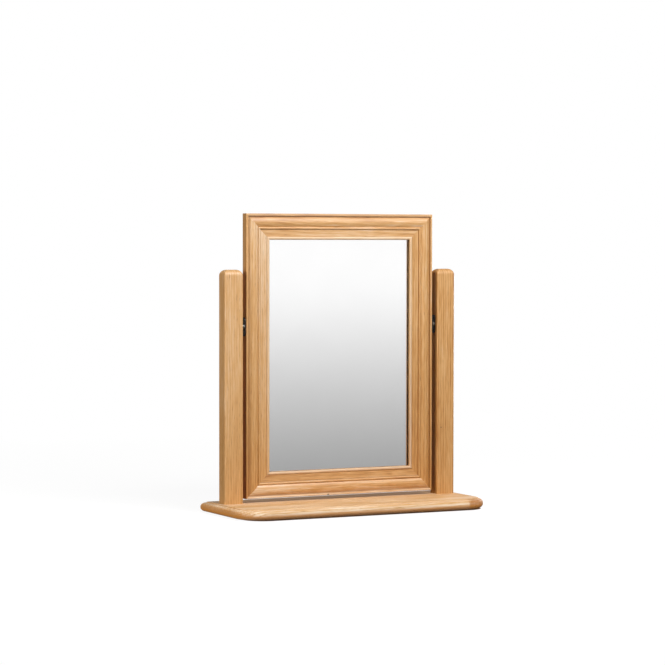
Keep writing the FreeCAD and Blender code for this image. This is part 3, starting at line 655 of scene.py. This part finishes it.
def painted_floor_reflection(tree, place):
    """The floor's glow as gloss and glass see it, a painted reflection: it brightens with the distance d in
    front of the object as 1 - NEAR_GREY x exp(-d / GREY_REACH)."""
    depth = add(tree, "SeparateXYZ", {0: place}).outputs["Y"]
    ahead = add(tree, "Math", {0: depth, 1: 0.0}, operation="MINIMUM").outputs[0]
    fall = add(tree, "Math", {0: ahead, 1: 1 / GREY_REACH}, operation="MULTIPLY").outputs[0]
    decay = add(tree, "Math", {0: math.e, 1: fall}, operation="POWER").outputs[0]
    grey = add(tree, "Math", {0: decay, 1: -NEAR_GREY, 2: 1.0}, operation="MULTIPLY_ADD").outputs[0]
    return add(tree, "Emission", {"Color": grey, "Strength": 1.0}).outputs[0]


def painted_shadow_under_base(tree, place):
    """The floor's glow with a painted shadow: brown within a rectangle with round corners and a soft rim.
    It is the base's outline, set in by UNDER_EDGE, and further by UNDER_LEFT at the left."""
    low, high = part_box("base_board")
    low += Vector((UNDER_LEFT, UNDER_EDGE, 0))
    high -= Vector((UNDER_EDGE, UNDER_EDGE, 0))
    middle = ((low.x + high.x) / 2, (low.y + high.y) / 2, 0)
    straight = ((high.x - low.x) / 2 - BASE_CORNER, (high.y - low.y) / 2 - BASE_CORNER, 0)
    aside = add(tree, "VectorMath", {0: place, 1: middle}, operation="SUBTRACT").outputs[0]
    spread = add(tree, "VectorMath", {0: aside}, operation="ABSOLUTE").outputs[0]
    past = add(tree, "VectorMath", {0: spread, 1: straight}, operation="SUBTRACT").outputs[0]
    corner = add(tree, "VectorMath", {0: past, 1: (0, 0, 0)}, operation="MAXIMUM").outputs[0]
    reach = add(tree, "VectorMath", {0: corner}, operation="LENGTH").outputs["Value"]
    clear = add(tree, "MapRange", {"Value": reach, 1: BASE_CORNER - UNDER_SHADE, 2: BASE_CORNER}).outputs[0]
    open_floor = (FLOOR_GLOW, FLOOR_GLOW, FLOOR_GLOW, 1)
    tones = [(0.0, linear(UNDER_SHADOW_TONE)), (0.5, linear(HALF_SHADE)), (1.0, open_floor)]
    tint = add(tree, "ValToRGB", {"Fac": clear}, stops=tones).outputs[0]
    return add(tree, "Emission", {"Color": tint, "Strength": 1.0}).outputs[0]


def floor_finish():
    """Matt white board. The camera sees it white, with the object's shadow near the object and a painted
    shadow under the base. Gloss and glass see a painted reflection in its glow, and the object gets a grey
    bounce from it."""
    material, tree = new_material("floor_matt_white")
    ray = add(tree, "LightPath").outputs
    place = add(tree, "TexCoord").outputs["Object"]
    away = add(tree, "VectorMath", {0: place}, operation="LENGTH").outputs["Value"]
    near = add(tree, "MapRange", {"Value": away, 1: SHADOW_FADE, 2: SHADOW_REACH}).outputs[0]
    white = add(tree, "Emission", {"Color": WHITE, "Strength": 1.0}).outputs[0]
    board = add(tree, "BsdfDiffuse", {"Color": linear(FLOOR_BOARD)}).outputs[0]
    lit = add(tree, "AddShader", {0: painted_shadow_under_base(tree, place), 1: board}).outputs[0]
    to_camera = add(tree, "MixShader", {0: near, 1: white, 2: lit}).outputs[0]
    bounce = add(tree, "BsdfDiffuse", {"Color": linear(FLOOR_BOUNCE)}).outputs[0]
    plain = add(tree, "MixShader", {0: ray["Is Camera Ray"], 1: bounce, 2: to_camera}).outputs[0]
    seen = add(tree, "Math", {0: ray["Is Glossy Ray"], 1: ray["Is Transmission Ray"]},
               operation="MAXIMUM").outputs[0]
    shown = add(tree, "MixShader", {0: seen, 1: plain, 2: painted_floor_reflection(tree, place)}).outputs[0]
    add(tree, "OutputMaterial", {"Surface": shown})
    return material


def floor():
    """A flat square sheet at the height that the pads stand on."""
    side = np.array([-1.0, 1.0]) * FLOOR_REACH
    x, y = np.meshgrid(side, side)
    points = np.stack([x, y, np.full_like(x, cad_box[0].z)], -1)
    new_piece("studio_floor", points, [(0, 1, 3, 2)], floor_finish())


floor()

# The surround's light, and its brightness to gloss from where a ray points this far to the back
AMBIENT = "#404040"
BACK_GLOSS = 0.35
BACK_WAY = 0.6


def surround():
    """White to the camera and through glass, and a soft grey to everything that it lights.
    Gloss sees it white in front and dimmer towards the back, where a studio has no lamps."""
    world = bpy.data.worlds.new("studio_surround")
    world.use_nodes = True
    tree = world.node_tree
    tree.nodes.clear()
    ray = add(tree, "LightPath").outputs
    way = add(tree, "SeparateXYZ", {0: add(tree, "TexCoord").outputs["Generated"]}).outputs["Y"]
    sheen = add(tree, "MapRange", {"Value": way, 1: 0.0, 2: BACK_WAY, 3: 1.0, 4: BACK_GLOSS}).outputs[0]
    seen = add(tree, "Math", {0: ray["Is Camera Ray"], 1: ray["Is Transmission Ray"]},
               operation="MAXIMUM").outputs[0]
    light = add(tree, "Background", {"Color": linear(AMBIENT), "Strength": 1.0}).outputs[0]
    gloss = add(tree, "Background", {"Color": sheen, "Strength": 1.0}).outputs[0]
    white = add(tree, "Background", {"Color": WHITE, "Strength": 1.0}).outputs[0]
    given = add(tree, "MixShader", {0: ray["Is Glossy Ray"], 1: light, 2: gloss}).outputs[0]
    both = add(tree, "MixShader", {0: seen, 1: given, 2: white}).outputs[0]
    add(tree, "OutputWorld", {"Surface": both})
    bpy.context.scene.world = world


surround()

# Soft boxes, all of one size and aimed at about the middle of the mirror
SOFT_BOX_SIZE = 1.2
MIRROR_MIDDLE = Vector((0, 39, 300)) * MM


def soft_box(name, place, power):
    """A square area lamp of a power in watts."""
    light = bpy.data.lights.new(name, "AREA")
    light.shape = "SQUARE"
    light.size = SOFT_BOX_SIZE
    light.energy = power
    item = bpy.data.objects.new(name, light)
    item.location = place
    item.rotation_euler = (MIRROR_MIDDLE - Vector(place)).to_track_quat("-Z", "Y").to_euler()
    bpy.context.scene.collection.objects.link(item)


soft_box("key_soft_box", (0.25, -1.75, 1.95), 66)
soft_box("left_soft_box", (-2.4, -0.25, 0.7), 30)
soft_box("back_soft_box", (3.2, 2.6, 0.6), 95)

# Camera, as fitted to the photograph
IMAGE_SIZE = 665
FOCAL_LENGTH_PX = 2494.9
SENSOR = 36.0
CAMERA_PLACE = Vector((-2295.6, -4475.1, 548.7)) * MM
CAMERA_YAW = math.radians(26.807)
CAMERA_PITCH = math.radians(2.140)
CAMERA_ROLL = math.radians(0.077)


def camera():
    """Looks along the yaw and pitch, then rolls about its own axis."""
    level = math.cos(CAMERA_PITCH)
    ahead = Vector((math.sin(CAMERA_YAW) * level, math.cos(CAMERA_YAW) * level, -math.sin(CAMERA_PITCH)))
    right = Vector((math.cos(CAMERA_YAW), -math.sin(CAMERA_YAW), 0))
    up = right.cross(ahead)
    rolled_right = right * math.cos(CAMERA_ROLL) + up * math.sin(CAMERA_ROLL)
    rolled_up = up * math.cos(CAMERA_ROLL) - right * math.sin(CAMERA_ROLL)
    turn = Matrix((rolled_right, rolled_up, -ahead)).transposed().to_4x4()
    data = bpy.data.cameras.new("photo_camera")
    data.sensor_width = SENSOR
    data.lens = FOCAL_LENGTH_PX * SENSOR / IMAGE_SIZE
    data.clip_end = 4 * FLOOR_REACH
    item = bpy.data.objects.new("photo_camera", data)
    item.matrix_world = Matrix.Translation(CAMERA_PLACE) @ turn
    bpy.context.scene.collection.objects.link(item)
    bpy.context.scene.camera = item


camera()
bpy.context.scene.view_settings.view_transform = "Standard"
